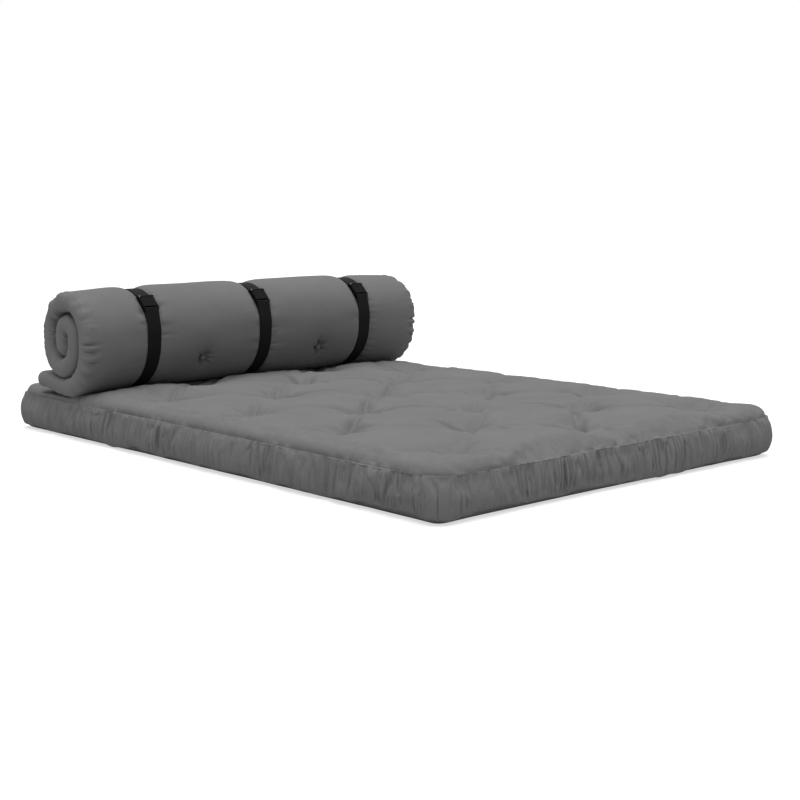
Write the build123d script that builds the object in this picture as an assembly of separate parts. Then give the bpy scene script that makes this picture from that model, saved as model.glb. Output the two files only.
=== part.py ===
from build123d import *
import os
from math import acos, atan2, ceil, cos, hypot, pi, radians, sin

# Futon mattress with a thin futon topper rolled up on it and held by three cam buckle straps.
# Millimetres, +Z up. The frame starts at the centre of the mattress underside.
# +X runs along the roll and +Y points at the end where the roll lies.

os.makedirs("parts", exist_ok=True)

# Mattress: size over the widest line of the border, and the height of the crown.
WIDTH = 1400.0
LENGTH = 2000.0
HEIGHT = 150.0
CORNER_RADIUS = 62.0
SIDE_DRAW_IN = 5.0
TOP_SEAM = HEIGHT - 33.0
BOTTOM_SEAM = 18.0
COVER = 2.5
EASE = 0.4

# Foam core, with the cotton batting wrapped round it in an upper and a lower half.
CORE_INSET = 70.0
CORE_BOTTOM = 42.0
CORE_TOP = HEIGHT - 52.0
BATTING_SPLIT = HEIGHT - 81.0

# Tufts: three columns by five rows, with a staggered tuft in every field between them.
TUFT_COLUMNS = 3
TUFT_ROWS = 5
TUFT_FROM_SIDE = 196.0
TUFT_FROM_FOOT = 150.0
TUFT_FROM_HEAD = 210.0
TUFT_STEP_X = (WIDTH - 2 * TUFT_FROM_SIDE) / (TUFT_COLUMNS - 1)
TUFT_STEP_Y = (LENGTH - TUFT_FROM_FOOT - TUFT_FROM_HEAD) / (TUFT_ROWS - 1)
TUFT_DEPTH = 34.0
TUFT_REACH = 105.0
UNDER_DEPTH = 12.0
UNDER_REACH = 60.0
PLEATS = 6
UNDER_PLEATS = 4
BUTTON_SIDES = 6
CORNER_STEPS = 4
BUTTON_RADIUS = 10.0
BUTTON_HEIGHT = 6.0
CORD = 3.0
CORD_HOLE = 3.6

# Rolled topper: one thick layer wound a little over two turns, with its tail lying below.
LAYER = 62.0
ROLL_LENGTH = 1380.0
ROLL_FROM_HEAD = 300.0
ROLL_Y = LENGTH / 2 - ROLL_FROM_HEAD
ROLL_SINK = 12.0
PINCH = 9.0
PINCH_EASE = 1.3
ROLL_STEP = 18.0
END_STEPS = 6
ROLL_EDGE = 16.0
TOPPER_COVER = 2.0
TOPPER_BUTTON_X = 246.0
TOPPER_BUTTON_RADIUS = 9.0
TOPPER_DIMPLE_DEPTH = 13.0
TOPPER_DIMPLE_REACH = 48.0

# Straps and their cam buckles.
STRAP_X = (-445.0, 0.0, 445.0)
STRAP_WIDTH = 50.0
WEBBING = 1.8
STRAP_STEP = 12.0
BUCKLE_ANGLE = 45.0
SLACK = 0.1
CHEEK = 2.0
CHEEK_GAP = STRAP_WIDTH + 2.0
CHEEK_HEIGHT = 9.6
BASE_PLATE = 1.8
BASE_FROM = -8.0
BASE_TO = 26.0
CHEEK_FROM = -34.0
CHEEK_TO = 27.0
ANCHOR_BAR_U = -30.0
ANCHOR_BAR_RADIUS = 2.2
PIN_U = 20.0
PIN_RADIUS = 2.0
BORE_RADIUS = 2.05
CAM_RADIUS = 5.2
KNUCKLE_RADIUS = 4.5
LEVER_EDGE = -24.0
LEVER_PLATE = 2.6
LEVER_SIDE_EASE = 0.4
SPRING_ROOM = 6.0
SPRING_TURNS = 3
SPRING_RADIUS = 3.1
WIRE = 0.8
SPRING_STEPS = 12
SPRING_EASE = 0.9
STUB_HOLE = 1.2
STUB_DEPTH = 0.8


# Soft forms are lofts with flat facets, so that their meshes stay small.
def faceted(rings):
    """Solid through rings of points that have the same count and run the same way."""
    faces = [Face(Wire.make_polygon(rings[0])), Face(Wire.make_polygon(rings[-1]))]
    for low, high in zip(rings, rings[1:]):
        for i in range(len(low)):
            faces.append(Face(Wire.make_polygon([low[i - 1], low[i], high[i], high[i - 1]])))
    return Solid(Shell(faces))


# Mattress shape
def profile_points(inset):
    """Side profile from underside to crown as (inset from the widest line, z), at the given depth."""
    middle = (TOP_SEAM + BOTTOM_SEAM) / 2
    quarter = (TOP_SEAM - BOTTOM_SEAM) / 4
    rise = HEIGHT - TOP_SEAM
    points = [(100.0, 0.0), (32.0, 0.0), (16.0, BOTTOM_SEAM), (4.0, middle - quarter), (0.0, middle)]
    points += [(4.0, middle + quarter), (16.0, TOP_SEAM), (40.0, TOP_SEAM + rise * 0.37)]
    points += [(82.0, TOP_SEAM + rise * 0.69), (145.0, TOP_SEAM + rise * 0.9)]
    points += [(235.0, HEIGHT), (400.0, HEIGHT)]
    pulled = []
    for before, here, after in zip(points, points[1:], points[2:]):
        first = hypot(here[0] - before[0], here[1] - before[1])
        second = hypot(after[0] - here[0], after[1] - here[1])
        n1 = ((here[1] - before[1]) / first, -(here[0] - before[0]) / first)
        n2 = ((after[1] - here[1]) / second, -(after[0] - here[0]) / second)
        scale = inset / (1 + n1[0] * n2[0] + n1[1] * n2[1])
        pulled.append((here[0] + scale * (n1[0] + n2[0]), here[1] + scale * (n1[1] + n2[1])))
    return pulled


def plan_ring(inset, z, radius):
    """Plan outline at one height: rounded corners, and sides drawn in between them."""
    a = WIDTH / 2 - inset
    b = LENGTH / 2 - inset
    cx = a - radius
    cy = b - radius
    corners = ((cx, cy), (-cx, cy), (-cx, -cy), (cx, -cy))
    dx = SIDE_DRAW_IN * (b - radius) / (LENGTH / 2 - CORNER_RADIUS)
    dy = SIDE_DRAW_IN * (a - radius) / (WIDTH / 2 - CORNER_RADIUS)
    middles = ((0, b - dy), (dx - a, 0), (0, dy - b), (a - dx, 0))
    ring = []
    for quarter, ((x, y), middle) in enumerate(zip(corners, middles)):
        for step in range(CORNER_STEPS + 1):
            turn = (quarter + step / CORNER_STEPS) * pi / 2
            ring.append((x + radius * cos(turn), y + radius * sin(turn), z))
        ring.append((*middle, z))
    return ring


def envelope(inset):
    """Whole mattress body, smaller by the given depth on every side."""
    rings = []
    for plain, pulled in zip(profile_points(0), profile_points(inset)):
        radius = CORNER_RADIUS - 0.35 * min(plain[0], 60) - inset
        rings.append(plan_ring(pulled[0], pulled[1], radius))
    return faceted(rings)


def tuft_points():
    """Tuft centres: the main rows and columns, then one in the middle of each field."""
    x0 = TUFT_FROM_SIDE - WIDTH / 2
    y0 = TUFT_FROM_FOOT - LENGTH / 2
    main = [
        (x0 + i * TUFT_STEP_X, y0 + j * TUFT_STEP_Y)
        for j in range(TUFT_ROWS)
        for i in range(TUFT_COLUMNS)
    ]
    between = [
        (x0 + (i + 0.5) * TUFT_STEP_X, y0 + (j + 0.5) * TUFT_STEP_Y)
        for j in range(TUFT_ROWS - 1)
        for i in range(TUFT_COLUMNS - 1)
    ]
    return main + between


def pleated(rings, sides=PLEATS):
    """Solid through many-sided rings of (radius, height), standing on the local origin."""
    turns = [2 * pi * i / sides for i in range(sides)]
    return faceted([[(r * cos(t), r * sin(t), z) for t in turns] for r, z in rings])


def at_tufts(shape):
    return [Pos(x, y, 0) * shape for x, y in tuft_points()]


def roll_bed(depth):
    """Hollow that the roll presses into the top of the mattress, lower by the given depth."""
    z = HEIGHT - ROLL_SINK - 0.3 - depth
    u = LAYER / 62.0
    edges = Polyline(
        (ROLL_Y - 66 * u, HEIGHT + 2 - depth),
        (ROLL_Y - 14 * u, z),
        (ROLL_Y + 168 * u, z),
        (ROLL_Y + 240 * u, HEIGHT + 2 - depth),
        (ROLL_Y + 240 * u, HEIGHT + 40),
        (ROLL_Y - 66 * u, HEIGHT + 40),
        close=True,
    )
    face = Plane.YZ * make_face(edges)
    return extrude(face, WIDTH, both=True)


def tufted(inset):
    """Mattress body at the given depth with its tuft hollows and the bed of the roll."""
    drop = inset * 1.15
    top = pleated(
        [
            (BUTTON_RADIUS + 3, HEIGHT - TUFT_DEPTH - drop),
            (TUFT_REACH * 0.45, HEIGHT - TUFT_DEPTH * 0.42 - drop),
            (TUFT_REACH, HEIGHT + 1 - inset),
        ]
    )
    under = pleated([(UNDER_REACH, inset - 1), (BUTTON_RADIUS * 1.5, UNDER_DEPTH + drop)], UNDER_PLEATS)
    return envelope(inset) - at_tufts(top) - at_tufts(under) - roll_bed(inset)


def slab(z0, z1):
    """Level slice that is wider than the mattress."""
    return Pos(0, 0, (z0 + z1) / 2) * Box(WIDTH * 2, LENGTH * 2, z1 - z0)


def corner_wedge(points):
    return extrude(make_face(Polyline(*points, close=True)), HEIGHT * 2)


cord_holes = at_tufts(Box(CORD_HOLE, CORD_HOLE, HEIGHT * 4))
cover = tufted(0) - tufted(COVER) - cord_holes
filling = tufted(COVER + EASE) - cord_holes

nodes = {}
rim = slab(BOTTOM_SEAM, TOP_SEAM) - Box(WIDTH - 150, LENGTH - 150, HEIGHT * 4)
panels = cover - rim
nodes["mattress_top_panel"] = panels & slab(HEIGHT * 0.4, HEIGHT * 2)
nodes["mattress_bottom_panel"] = panels & slab(-HEIGHT, HEIGHT * 0.4)
border = cover & rim
near = 60.0
far = 300.0
hw = WIDTH / 2
hl = LENGTH / 2
front_wedge = [(-hw - near, -hl - near), (hw + near, -hl - near)]
front_wedge += [(hw - far, far - hl), (far - hw, far - hl)]
right_wedge = [(hw + near, -hl - near), (hw + near, hl + near)]
right_wedge += [(hw - far, hl - far), (hw - far, far - hl)]
nodes["mattress_border_front"] = border & corner_wedge(front_wedge)
nodes["mattress_border_back"] = border & corner_wedge([(x, -y) for x, y in front_wedge])
nodes["mattress_border_right"] = border & corner_wedge(right_wedge)
nodes["mattress_border_left"] = border & corner_wedge([(-x, y) for x, y in right_wedge])
core_size = (WIDTH - 2 * CORE_INSET, LENGTH - 2 * CORE_INSET, CORE_TOP - CORE_BOTTOM)
core = Pos(0, 0, (CORE_TOP + CORE_BOTTOM) / 2) * Box(*core_size)
nodes["mattress_foam_core"] = core - cord_holes
nodes["mattress_upper_batting"] = (filling & slab(BATTING_SPLIT, HEIGHT * 2)) - core
nodes["mattress_lower_batting"] = (filling & slab(-HEIGHT, BATTING_SPLIT)) - core

seat = HEIGHT - TUFT_DEPTH + 0.2
under_seat = UNDER_DEPTH - 0.2
button_rings = [(1.0, 0.0), (1.0, BUTTON_HEIGHT * 0.5), (0.55, BUTTON_HEIGHT)]
button = pleated([(BUTTON_RADIUS * share, z) for share, z in button_rings], BUTTON_SIDES)
washer = pleated([(BUTTON_RADIUS * 0.7, -4), (BUTTON_RADIUS, 0)])
cord_box = Pos(0, 0, (seat + under_seat) / 2) * Box(CORD, CORD, seat - under_seat)
nodes["mattress_tuft_cords"] = Compound(at_tufts(cord_box))
nodes["mattress_top_buttons"] = Compound(at_tufts(Pos(0, 0, seat) * button))
nodes["mattress_bottom_buttons"] = Compound(at_tufts(Pos(0, 0, under_seat) * washer))


# Wound shapes: a belt that keeps every circle on its left is the middle line of a layer or a strap.
def belt(circles):
    """Middle line as (centre, radius, start angle, end angle) for each circle (y, z, radius) in order."""
    normals = []
    for (y1, z1, r1), (y2, z2, r2) in zip(circles, circles[1:]):
        along = atan2(z2 - z1, y2 - y1)
        normals.append(along - acos((r1 - r2) / hypot(y2 - y1, z2 - z1)))
    line = []
    for i, (y, z, r) in enumerate(circles):
        first = normals[max(i - 1, 0)]
        last = normals[min(i, len(normals) - 1)]
        line.append((y, z, r, first, first + (last - first) % (2 * pi)))
    return line


def polar(y, z, r, angle):
    return (y + r * cos(angle), z + r * sin(angle))


def side_points(line, shift, step):
    """Points along one side of the middle line, moved out of the turns by the given shift."""
    points = []
    for y, z, r, first, end in line:
        count = ceil((end - first) / radians(step)) if r > 0 else 0
        for i in range(count + 1):
            turn = first + (end - first) * i / max(count, 1)
            points.append(polar(y, z, r + shift, turn))
    return points


def round_end(y, z, outward, inner, outer):
    """Points of a half round end between the outer and the inner side of a layer."""
    cy, cz = polar(y, z, (outer - inner) / 2, outward)
    turns = [outward + pi * i / END_STEPS for i in range(1, END_STEPS)]
    return [polar(cy, cz, (outer + inner) / 2, turn) for turn in turns]


def layer_outline(line, inner, outer, step):
    """Section of a soft layer with rounded ends."""
    y0, z0, _, n0, _ = line[0]
    y1, z1, _, _, n1 = line[-1]
    points = side_points(line, outer, step) + round_end(y1, z1, n1, inner, outer)
    points += side_points(line, -inner, step)[::-1] + round_end(y0, z0, n0 + pi, outer, inner)
    return points


def strip_outline(line, inner, outer, step):
    """Section of a flat strip with square ends."""
    return side_points(line, outer, step) + side_points(line, -inner, step)[::-1]


def half_outline(line, inner, step):
    """Section of the inner half of a layer, from its middle line to the given depth."""
    y0, z0, _, n0, _ = line[0]
    y1, z1, _, _, n1 = line[-1]
    turns = [pi * i / END_STEPS for i in range(END_STEPS // 2)]
    last = [polar(y1, z1, inner, n1 + pi / 2 + t) for t in turns]
    first = [polar(y0, z0, inner, n0 + pi + t + pi / END_STEPS) for t in turns]
    return side_points(line, 0, step) + last + side_points(line, -inner, step)[::-1] + first


def across_x(points, x0, x1):
    """Prism along X over an outline of (y, z) points."""
    return faceted([[(x, y, z) for y, z in points] for x in (x0, x1)])


unit = LAYER / 62.0
roll_z = HEIGHT - ROLL_SINK
half = LAYER / 2


def spot(y, z, r):
    return (ROLL_Y + y * unit, roll_z + z * unit, r * unit)


INNER_END = spot(20, 161, 0)
FOLD = spot(-14, 196, 34)
INNER_TURN = spot(24.5, 168, 72.5)
TOP_TURN = spot(-8.5, 192, 105.5)
FRONT_TURN = spot(20, 165, 134)
TAIL_END = spot(150, 31, 0)
roll_line = belt([INNER_END, FOLD, INNER_TURN, TOP_TURN, FRONT_TURN, TAIL_END])


def wound(inset):
    """Rolled layer, smaller by the given depth, pinched at the straps and rounded at its two ends."""
    end = ROLL_LENGTH / 2 - inset
    a, b, c = STRAP_X
    stations = [(-end, ROLL_EDGE, ROLL_EDGE), (-end + ROLL_EDGE, 0.0, 0.0)]
    stations += [(a, 0.0, PINCH), ((a + b) / 2, 0.0, 0.0), (b, 0.0, PINCH), ((b + c) / 2, 0.0, 0.0)]
    stations += [(c, 0.0, PINCH), (end - ROLL_EDGE, 0.0, 0.0), (end, ROLL_EDGE, ROLL_EDGE)]
    rings = []
    for x, inner, outer in stations:
        outline = layer_outline(roll_line, half - inset - inner, half - inset - outer, ROLL_STEP)
        rings.append([(x, y, z) for y, z in outline])
    return faceted(rings)


def topper_planes():
    """Planes of the topper tufts: on the front below the buckles, and on the back of the roll."""
    y, z, r = FRONT_TURN
    low = pi + radians(27.4)
    places = [(polar(y, z, r, low), low)]
    y, z, r = TOP_TURN
    places.append((polar(y, z, r, 0), 0.0))
    planes = []
    for (py, pz), angle in places:
        for x in (-TOPPER_BUTTON_X, TOPPER_BUTTON_X):
            planes.append(Plane((x, py, pz), x_dir=(1, 0, 0), z_dir=(0, cos(angle), sin(angle))))
    return planes


def at_topper_tufts(shape):
    return [plane * shape for plane in topper_planes()]


def topper_body(inset):
    """Rolled layer at the given depth with its tuft hollows on both faces."""
    rim = half + 1 - inset
    floor = half - TOPPER_DIMPLE_DEPTH - inset
    outside = pleated([(TOPPER_BUTTON_RADIUS + 3, floor), (TOPPER_DIMPLE_REACH, rim)])
    inside = pleated([(TOPPER_BUTTON_RADIUS + 8, -rim - 1.2), (TOPPER_BUTTON_RADIUS + 3, -floor - 4)])
    return wound(inset) - at_topper_tufts(outside) - at_topper_tufts(inside)


topper_holes = at_topper_tufts(Box(CORD_HOLE, CORD_HOLE, LAYER * 0.98))
topper_cover = topper_body(0) - topper_body(TOPPER_COVER) - topper_holes
tail_y, tail_z, _ = TAIL_END
inner_side = across_x(half_outline(roll_line, half + 0.5, ROLL_STEP), -ROLL_LENGTH, ROLL_LENGTH)
nodes["topper_outer_panel"] = topper_cover - inner_side
nodes["topper_inner_panel"] = topper_cover & inner_side
nodes["topper_filling"] = topper_body(TOPPER_COVER + EASE) - topper_holes

topper_seat = half - TOPPER_DIMPLE_DEPTH + 0.2
inner_seat = half - TOPPER_DIMPLE_DEPTH + 4.2
small_button = pleated([(TOPPER_BUTTON_RADIUS * share, z) for share, z in button_rings], BUTTON_SIDES)
topper_cord = Pos(0, 0, (topper_seat - inner_seat) / 2) * Box(CORD, CORD, topper_seat + inner_seat)
outer_button = Pos(0, 0, topper_seat) * small_button
inner_button = Pos(0, 0, -inner_seat) * Rot(180, 0, 0) * small_button
nodes["topper_outer_buttons"] = Compound(at_topper_tufts(outer_button))
nodes["topper_inner_buttons"] = Compound(at_topper_tufts(inner_button))
nodes["topper_tuft_cords"] = Compound(at_topper_tufts(topper_cord))


# Strap and buckle: u runs up along the strap, w away from the roll, both from the middle of the buckle.
drawn = half - PINCH + PINCH_EASE
top_y, top_z, top_r = TOP_TURN
strap_r = top_r + drawn
base_w = strap_r + 0.3 + BASE_PLATE
lean = radians(BUCKLE_ANGLE)


def buckle_spot(u, w):
    """Point (y, z) at a place in the buckle."""
    out = base_w + w
    y = top_y - out * cos(lean) + u * sin(lean)
    z = top_z + out * sin(lean) + u * cos(lean)
    return (y, z)


def on_roll(radius, turn):
    """Point on a circle about the roll's upper centre, at an angle below the buckle."""
    angle = pi - lean + radians(turn)
    return polar(top_y, top_z, radius, angle)


over = WEBBING / 2
level = SLACK + over
bar_w = WEBBING * 2 + SLACK * 4 + ANCHOR_BAR_RADIUS
bar_loop = ANCHOR_BAR_RADIUS + SLACK + over
front_y, front_z, front_r = FRONT_TURN
lift = 0.3 + BASE_PLATE + level
strap_line = belt(
    [
        (*on_roll(strap_r + 3.4, 30.0), 0),
        (*buckle_spot(ANCHOR_BAR_U, bar_w), bar_loop),
        (top_y, top_z, strap_r + 5.6),
        (front_y, front_z, front_r + drawn + lift),
        (tail_y, tail_z + PINCH / 2, drawn + PINCH / 2 + lift),
        (top_y, top_z, strap_r + lift),
        (*buckle_spot(BASE_TO, level - 5), 5.0),
        (*buckle_spot(BASE_FROM, level - 5), 5.0),
        (*on_roll(strap_r + 1.3, 20.0), 0),
    ]
)
strap = across_x(strip_outline(strap_line, over, over, STRAP_STEP), -STRAP_WIDTH / 2, STRAP_WIDTH / 2)
buckle_origin = buckle_spot(0, 0)
buckle_plane = Plane(
    (0, buckle_origin[0], buckle_origin[1]),
    x_dir=(0, sin(lean), cos(lean)),
    z_dir=(0, -cos(lean), sin(lean)),
)


def across(radius, u, w, v0, v1):
    """Round bar across the strap, from v0 to v1."""
    turned = Pos(u, (v0 + v1) / 2, w) * Rot(90, 0, 0)
    return turned * Cylinder(radius, v1 - v0)


def stud(radius, u, w, v0, v1):
    """Eight-sided bar across the strap, from v0 to v1."""
    turned = Pos(u, v0, w) * Rot(-90, 0, 0)
    return turned * extrude(RegularPolygon(radius, 8), v1 - v0)


def block(u0, u1, v0, v1, w0, w1):
    return Pos((u0 + u1) / 2, (v0 + v1) / 2, (w0 + w1) / 2) * Box(u1 - u0, v1 - v0, w1 - w0)


half_gap = CHEEK_GAP / 2
pin_w = WEBBING + SLACK + 0.3 + CAM_RADIUS
cheek_edge = half_gap + CHEEK
plate_top = pin_w + KNUCKLE_RADIUS - 0.9
frame = block(BASE_FROM, BASE_TO, -cheek_edge, cheek_edge, -BASE_PLATE, 0)
for v0, v1 in ((-cheek_edge, -half_gap), (half_gap, cheek_edge)):
    cheek = block(CHEEK_FROM, CHEEK_TO, v0, v1, -BASE_PLATE, CHEEK_HEIGHT)
    cheek = chamfer(cheek.edges().filter_by(Axis.Y).sort_by(Axis.Z)[-2:], 4.0)
    frame += cheek
frame += stud(ANCHOR_BAR_RADIUS, ANCHOR_BAR_U, bar_w, -half_gap, half_gap)
frame -= across(PIN_RADIUS + 0.02, PIN_U, pin_w, -40, 40)
frame -= Pos(PIN_U + SPRING_RADIUS, half_gap, pin_w) * Box(STUB_HOLE, 2.4, STUB_HOLE)

pin = across(PIN_RADIUS, PIN_U, pin_w, -cheek_edge, cheek_edge)
pin += stud(PIN_RADIUS * 1.8, PIN_U, pin_w, -cheek_edge - 1.4, -cheek_edge)
pin += stud(PIN_RADIUS * 1.8, PIN_U, pin_w, cheek_edge, cheek_edge + 1.4)

lever_edge = half_gap - LEVER_SIDE_EASE
lever_end = lever_edge - SPRING_ROOM
knuckle = across(KNUCKLE_RADIUS, PIN_U, pin_w, -lever_edge, lever_end)
cam = across(CAM_RADIUS, PIN_U, pin_w, -lever_edge + 2, lever_end - 2)
cam &= block(PIN_U - CAM_RADIUS, PIN_U, -40, 40, pin_w - CAM_RADIUS - 1, pin_w - 1)
plate = block(LEVER_EDGE, PIN_U, -lever_edge, lever_end, plate_top - LEVER_PLATE, plate_top)
plate += block(LEVER_EDGE, PIN_U - 7, -lever_edge, lever_edge, plate_top - LEVER_PLATE, plate_top)
plate = chamfer(plate.edges().filter_by(Axis.Z).sort_by(Axis.X)[:2], 3.0)
lip = block(LEVER_EDGE, LEVER_EDGE + 3.2, -lever_edge + 8, lever_edge - 8, plate_top - 1, plate_top + 1.6)
lip = chamfer(lip.edges().filter_by(Axis.Y).sort_by(Axis.Z)[-2:], 1.0)
lever = plate + knuckle + cam + lip
for turn in (8.0, 22.0, 36.0):
    groove_u = PIN_U - CAM_RADIUS * sin(radians(turn))
    groove_w = pin_w - CAM_RADIUS * cos(radians(turn))
    groove = Pos(groove_u, 0, groove_w) * Rot(0, turn + 45, 0) * Box(0.7, 60, 0.7)
    lever -= groove
lever -= across(BORE_RADIUS, PIN_U, pin_w, -40, 40)
lever -= Pos(PIN_U - SPRING_RADIUS, lever_end, pin_w) * Box(STUB_HOLE, 3.0, STUB_HOLE)


def coil_spring():
    """Torsion spring on the pin: a square wire coil with one stub in the lever and one in the cheek."""
    pitch = (SPRING_ROOM - 2 * SPRING_EASE) / SPRING_TURNS
    turns = SPRING_TURNS - 0.5
    h = WIRE / 2
    corners = ((-h, -h), (h, -h), (h, h), (-h, h))
    rings = []
    for i in range(round(turns * SPRING_STEPS) + 1):
        turn = pi + 2 * pi * i / SPRING_STEPS
        lift = pitch * i / SPRING_STEPS
        ring = []
        for a, b in corners:
            reach = SPRING_RADIUS + a
            ring.append((reach * cos(turn), reach * sin(turn), lift + b))
        rings.append(ring)
    faces = [Face(Wire.make_polygon(rings[0])), Face(Wire.make_polygon(rings[-1]))]
    for low, high in zip(rings, rings[1:]):
        for i in range(4):
            faces.append(Face(Wire.make_polygon([low[i - 1], low[i], high[i]])))
            faces.append(Face(Wire.make_polygon([low[i - 1], high[i], high[i - 1]])))
    coil = Solid(Shell(faces))
    stub_start = pitch * turns - h
    stub_end = SPRING_ROOM + LEVER_SIDE_EASE - SPRING_EASE + STUB_DEPTH
    lever_stub = Pos(-SPRING_RADIUS, 0, -0.6) * Box(WIRE, WIRE, 2.0)
    cheek_stub = Box(WIRE, WIRE, stub_end - stub_start)
    coil = coil + lever_stub + Pos(SPRING_RADIUS, 0, (stub_start + stub_end) / 2) * cheek_stub
    print("gap between spring turns", round(pitch - WIRE, 2))
    return Pos(PIN_U, lever_end + SPRING_EASE, pin_w) * Rot(-90, 0, 0) * coil


spring = coil_spring()

for number, x in enumerate(STRAP_X, start=1):
    nodes["strap_%d" % number] = Pos(x, 0, 0) * strap
    for name, shape in (("frame", frame), ("pin", pin), ("lever", lever), ("spring", spring)):
        nodes["buckle_%s_%d" % (name, number)] = Pos(x, 0, 0) * (buckle_plane * shape)

for name, shape in nodes.items():
    export_step(shape, "parts/%s.step" % name)
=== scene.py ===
"""Tufted futon mattress with a thin topper rolled up on its head end and held by three buckled straps."""
import math

import bpy
import numpy as np
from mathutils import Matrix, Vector


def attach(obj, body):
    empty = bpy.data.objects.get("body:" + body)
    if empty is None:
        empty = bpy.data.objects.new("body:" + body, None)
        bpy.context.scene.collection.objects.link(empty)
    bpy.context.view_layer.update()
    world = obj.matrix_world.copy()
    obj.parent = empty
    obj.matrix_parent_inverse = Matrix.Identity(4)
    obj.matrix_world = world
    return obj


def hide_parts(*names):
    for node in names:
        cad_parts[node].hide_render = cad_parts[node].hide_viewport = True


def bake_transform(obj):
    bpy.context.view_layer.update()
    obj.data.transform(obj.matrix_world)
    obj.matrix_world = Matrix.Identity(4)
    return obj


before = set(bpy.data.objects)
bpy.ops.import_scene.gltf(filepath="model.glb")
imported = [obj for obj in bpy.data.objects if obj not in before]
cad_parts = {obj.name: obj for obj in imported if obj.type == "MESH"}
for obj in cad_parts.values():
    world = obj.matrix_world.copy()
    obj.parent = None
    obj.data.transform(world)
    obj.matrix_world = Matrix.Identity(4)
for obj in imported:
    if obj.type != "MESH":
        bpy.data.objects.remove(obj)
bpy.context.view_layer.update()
scene = bpy.context.scene

# Sizes in metres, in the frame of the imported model.
HALF_WIDTH = 0.700
HALF_LENGTH = 1.000
CORNER = 0.044
DRAW_IN = 0.005
TOP_SEAM = 0.117
BOTTOM_SEAM = 0.011
SEAM_INSET = 0.0135
SEAM_TUCK = 0.0030
SEAM_SINK = 0.0032
FULLNESS = 0.0030
SHOULDER_RISE = 0.0265
SHOULDER_REACH = 0.0098
CROWN_RISE = 0.0065
CROWN_REACH = 0.12
STUFFING = 0.7
TOP_BUTTON_HEIGHT = 0.1163
WASHER_HEIGHT = 0.0115
TOPPER_BUTTON_SUNK = 0.0142
TUFTS = [(x, y) for y in (-0.85, -0.44, -0.03, 0.38, 0.79) for x in (-0.504, 0.0, 0.504)]
TUFTS += [(x, y) for y in (-0.645, -0.235, 0.175, 0.585) for x in (-0.252, 0.252)]

# Rolled topper: circles (y, z, radius) that the middle of its layer is wound round, inner end first.
HALF_LAYER = 0.031
HALF_ROLL = 0.698
ROLL_CIRCLES = [
    (0.720, 0.299, 0.0),
    (0.686, 0.334, 0.034),
    (0.7245, 0.306, 0.0725),
    (0.6915, 0.330, 0.1055),
    (0.720, 0.303, 0.134),
    (0.850, 0.169, 0.0),
]
FRONT_TURN = (0.720, 0.303, 0.134)
TOP_TURN = (0.6915, 0.330, 0.1055)
TOPPER_TUFTS = [(x, "front") for x in (-0.246, 0.246)] + [(x, "back") for x in (-0.246, 0.246)]

# Straps
STRAP_X = (-0.445, 0.0, 0.445)
STRAP_HALF = 0.025
STRAP_BED = 0.0252
BUCKLE_SPOT = (0.6169, 0.4046)
WEBBING = 0.0018


def smooth(low, high, value):
    """Smooth rise from 0 to 1 between two values."""
    t = np.clip((value - low) / (high - low), 0.0, 1.0)
    return t * t * (3.0 - 2.0 * t)


def uneven(x, y, seed):
    """Smooth unevenness from -1 to 1 over a plane, with bumps about one unit wide."""
    xi = np.floor(x)
    yi = np.floor(y)
    u = x - xi
    v = y - yi
    u = u * u * (3.0 - 2.0 * u)
    v = v * v * (3.0 - 2.0 * v)

    def corner(i, j):
        value = np.sin(i * 127.1 + j * 311.7 + seed * 74.7) * 43758.5453
        return 2.0 * (value - np.floor(value)) - 1.0

    lower = corner(xi, yi) * (1.0 - u) + corner(xi + 1, yi) * u
    upper = corner(xi, yi + 1) * (1.0 - u) + corner(xi + 1, yi + 1) * u
    return lower * (1.0 - v) + upper * v


def folds(x, y, seed):
    """Narrow valleys between broad swells, from -1 in a valley to 0 on a swell."""
    return -np.exp(-np.abs(uneven(x, y, seed)) / 0.24)


def points_of(piece):
    flat = np.empty(len(piece.data.vertices) * 3)
    piece.data.vertices.foreach_get("co", flat)
    return flat.reshape(-1, 3)


def normals_of(piece):
    flat = np.empty(len(piece.data.vertices) * 3)
    piece.data.vertex_normals.foreach_get("vector", flat)
    return flat.reshape(-1, 3)


def place_points(piece, points):
    piece.data.vertices.foreach_set("co", np.ascontiguousarray(points, dtype=float).ravel())
    piece.data.update()


def only(piece):
    """Select one piece and make it active."""
    bpy.ops.object.select_all(action="DESELECT")
    piece.select_set(True)
    bpy.context.view_layer.objects.active = piece


def cloth_grid(name, columns, rows):
    """Flat grid of cloth as a start, with the place of each point along and across it."""
    bpy.ops.object.select_all(action="DESELECT")
    bpy.ops.mesh.primitive_grid_add(x_subdivisions=columns, y_subdivisions=rows, size=1.0, location=(0, 0, 0))
    piece = bpy.context.object
    piece.name = name
    piece.data.name = name
    share = points_of(piece)[:, :2] + 0.5
    return piece, np.rint(share[:, 0] * columns).astype(int), np.rint(share[:, 1] * rows).astype(int)


def lay_threads(piece, along, across):
    """Write the cloth's own measure in metres to its UV map, so that a weave follows the piece."""
    loops = np.empty(len(piece.data.loops), dtype=int)
    piece.data.loops.foreach_get("vertex_index", loops)
    uv = np.stack([along[loops], across[loops]], axis=1)
    piece.data.uv_layers[0].data.foreach_set("uv", uv.ravel())


def threads_of(piece):
    """Read the cloth's own measure back for every point."""
    uv = np.empty(len(piece.data.loops) * 2)
    piece.data.uv_layers[0].data.foreach_get("uv", uv)
    loops = np.empty(len(piece.data.loops), dtype=int)
    piece.data.loops.foreach_get("vertex_index", loops)
    measure = np.zeros((len(piece.data.vertices), 2))
    measure[loops] = uv.reshape(-1, 2)
    return measure[:, 0], measure[:, 1]


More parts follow.
